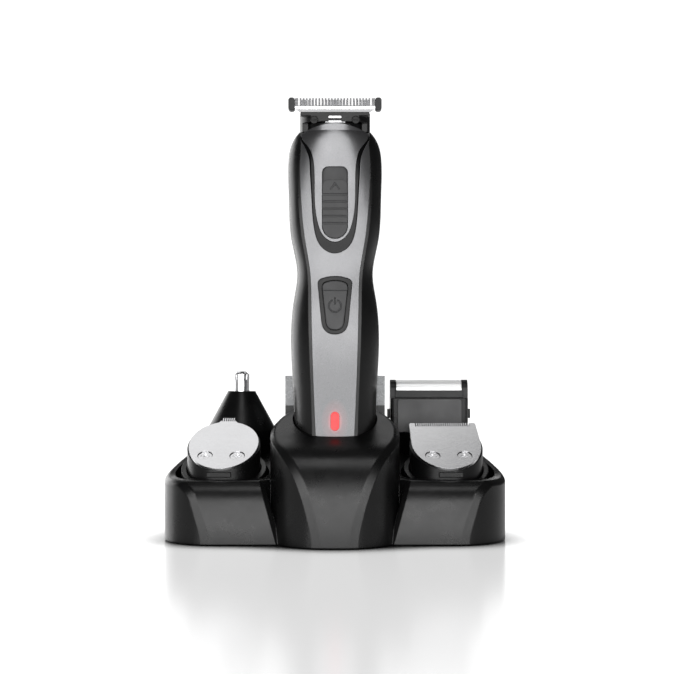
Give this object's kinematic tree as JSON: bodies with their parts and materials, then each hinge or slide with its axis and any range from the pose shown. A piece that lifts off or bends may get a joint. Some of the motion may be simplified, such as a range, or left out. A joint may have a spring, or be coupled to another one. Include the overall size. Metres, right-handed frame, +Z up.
{
  "type": "beard trimmer with charging stand",
  "caption": "Cordless beard trimmer with a T-blade, docked in a charging stand that also holds interchangeable cutting heads and a guide comb.",
  "frame": {"origin": "middle of the stand's footprint on the surface it stands on", "axes": "+Z up, the trimmer's face and the front of the stand look along -Y, +X to the right seen from the front"},
  "size_m": [0.1446, 0.088, 0.1861],
  "materials": {
    "stand_shell": "fine satin black moulding",
    "stand_under": "matt black moulding",
    "foot_rubber": "soft dull rubber",
    "screw_steel": "plated steel screws",
    "handset_black": "soft-touch black shell",
    "silver_paint": "metallic silver paint on plastic",
    "groove_black": "dark metallic trim",
    "switch_grey": "dark grey switch plastic",
    "button_grey": "dark grey button",
    "bezel_black": "glossy black ring",
    "lens_red": "lit red lens",
    "inner_plastic": "moulded inner frame",
    "cell_wrap": "wrapped battery cell",
    "contact_metal": "plated contact",
    "board_green": "circuit board laminate",
    "motor_steel": "plain motor can",
    "blade_steel": "ground steel",
    "head_black": "black head moulding",
    "cap_grey": "dark grey end caps",
    "cutter_plastic": "black cutter block",
    "foil_grey": "satin dark grey plate",
    "comb_smoke": "smoky translucent comb",
    "comb_black": "black comb frame"
  },
  "bodies": {
    "stand": {"stand_cover": "stand_shell", "stand_base": "stand_under", "stand_feet": "foot_rubber", "stand_screws": "screw_steel", "pin_block": "inner_plastic", "stand_board": "board_green", "power_jack": "inner_plastic"},
    "charge_pins": {"charge_pins": "contact_metal"},
    "handset": {"rear_shell": "handset_black", "front_shell": "handset_black", "face_panel": "silver_paint", "shield_panel": "silver_paint", "groove_trim": "groove_black", "slide_track": "switch_grey", "button_bezel": "bezel_black", "status_lens": "lens_red", "chassis": "inner_plastic", "battery_cell": "cell_wrap", "cell_contacts": "contact_metal", "circuit_board": "board_green", "tact_switch": "inner_plastic", "motor_can": "motor_steel", "neck_collar": "head_black", "charge_contacts": "contact_metal", "case_screws": "screw_steel"},
    "slide_switch": {"slide_pad": "switch_grey", "slide_carriage": "inner_plastic"},
    "power_button": {"power_button": "button_grey"},
    "motor_cam": {"motor_cam": "contact_metal"},
    "t_head": {"tee_housing": "head_black", "tee_fixed_blade": "blade_steel", "tee_end_caps": "cap_grey", "tee_spring_plate": "screw_steel", "tee_screws": "head_black"},
    "t_moving_blade": {"tee_moving_blade": "blade_steel"},
    "detail_head": {"detail_housing": "head_black", "detail_plate": "blade_steel", "detail_screws": "blade_steel"},
    "detail_cutter": {"detail_cutter": "cutter_plastic"},
    "wide_head": {"wide_housing": "head_black", "wide_plate": "blade_steel", "wide_screws": "blade_steel"},
    "wide_cutter": {"wide_cutter": "cutter_plastic"},
    "nose_head": {"nose_housing": "head_black", "nose_tube": "blade_steel"},
    "nose_rotor": {"nose_rotor": "blade_steel"},
    "foil_head": {"foil_base": "head_black", "foil_front_plate": "foil_grey"},
    "foil_cassette": {"foil_cassette": "cap_grey", "foil_sheet": "blade_steel"},
    "foil_cutter": {"foil_cutter": "cutter_plastic"},
    "foil_release_left": {"foil_release_left": "head_black"},
    "foil_release_right": {"foil_release_right": "head_black"},
    "comb": {"comb_frame": "comb_black", "guide_comb": "comb_smoke"}
  },
  "joints": [
    {"name": "handset_lift", "type": "slide", "parent": "stand", "child": "handset", "axis": [0, 0, 1], "range_m": [0, 0.06]},
    {"name": "charge_pin_press", "type": "slide", "parent": "stand", "child": "charge_pins", "axis": [0, 0, -1], "range_m": [0, 0.001], "stiffness_N_per_m": 400},
    {"name": "slide_switch_move", "type": "slide", "parent": "handset", "child": "slide_switch", "axis": [0, 0, 1], "range_m": [0, 0.0054]},
    {"name": "power_button_press", "type": "slide", "parent": "handset", "child": "power_button", "axis": [0, 1, 0], "range_m": [0, 0.0008], "stiffness_N_per_m": 1200},
    {"name": "motor_spin", "type": "hinge", "parent": "handset", "child": "motor_cam", "pos_m": [0, -0.006, 0.16], "axis": [0, 0, 1], "continuous": true},
    {"name": "t_head_lift", "type": "slide", "parent": "handset", "child": "t_head", "axis": [0, 0, 1], "range_m": [0, 0.015]},
    {"name": "t_blade_stroke", "type": "slide", "parent": "t_head", "child": "t_moving_blade", "axis": [1, 0, 0], "range_m": [-0.0012, 0.0012]},
    {"name": "detail_head_lift", "type": "slide", "parent": "stand", "child": "detail_head", "axis": [0, 0, 1], "range_m": [0, 0.03]},
    {"name": "detail_cutter_stroke", "type": "slide", "parent": "detail_head", "child": "detail_cutter", "axis": [0.9976, -0.0698, 0], "range_m": [-0.001, 0.001]},
    {"name": "wide_head_lift", "type": "slide", "parent": "stand", "child": "wide_head", "axis": [0, 0, 1], "range_m": [0, 0.03]},
    {"name": "wide_cutter_stroke", "type": "slide", "parent": "wide_head", "child": "wide_cutter", "axis": [0.9976, 0.0698, 0], "range_m": [-0.001, 0.001]},
    {"name": "nose_head_lift", "type": "slide", "parent": "stand", "child": "nose_head", "axis": [0, 0, 1], "range_m": [0, 0.03]},
    {"name": "nose_rotor_spin", "type": "hinge", "parent": "nose_head", "child": "nose_rotor", "pos_m": [-0.0416, 0.025, 0.06], "axis": [0, 0, 1], "continuous": true},
    {"name": "foil_head_lift", "type": "slide", "parent": "stand", "child": "foil_head", "axis": [0, 0, 1], "range_m": [0, 0.03]},
    {"name": "foil_cassette_lift", "type": "slide", "parent": "foil_head", "child": "foil_cassette", "axis": [0, 0, 1], "range_m": [0, 0.012]},
    {"name": "foil_cutter_stroke", "type": "slide", "parent": "foil_head", "child": "foil_cutter", "axis": [1, 0, 0], "range_m": [-0.001, 0.001]},
    {"name": "foil_release_left_press", "type": "slide", "parent": "foil_head", "child": "foil_release_left", "axis": [1, 0, 0], "range_m": [0, 0.0009], "stiffness_N_per_m": 600},
    {"name": "foil_release_right_press", "type": "slide", "parent": "foil_head", "child": "foil_release_right", "axis": [-1, 0, 0], "range_m": [0, 0.0009], "stiffness_N_per_m": 600},
    {"name": "comb_lift", "type": "slide", "parent": "stand", "child": "comb", "axis": [0, 0, 1], "range_m": [0, 0.03]}
  ]
}
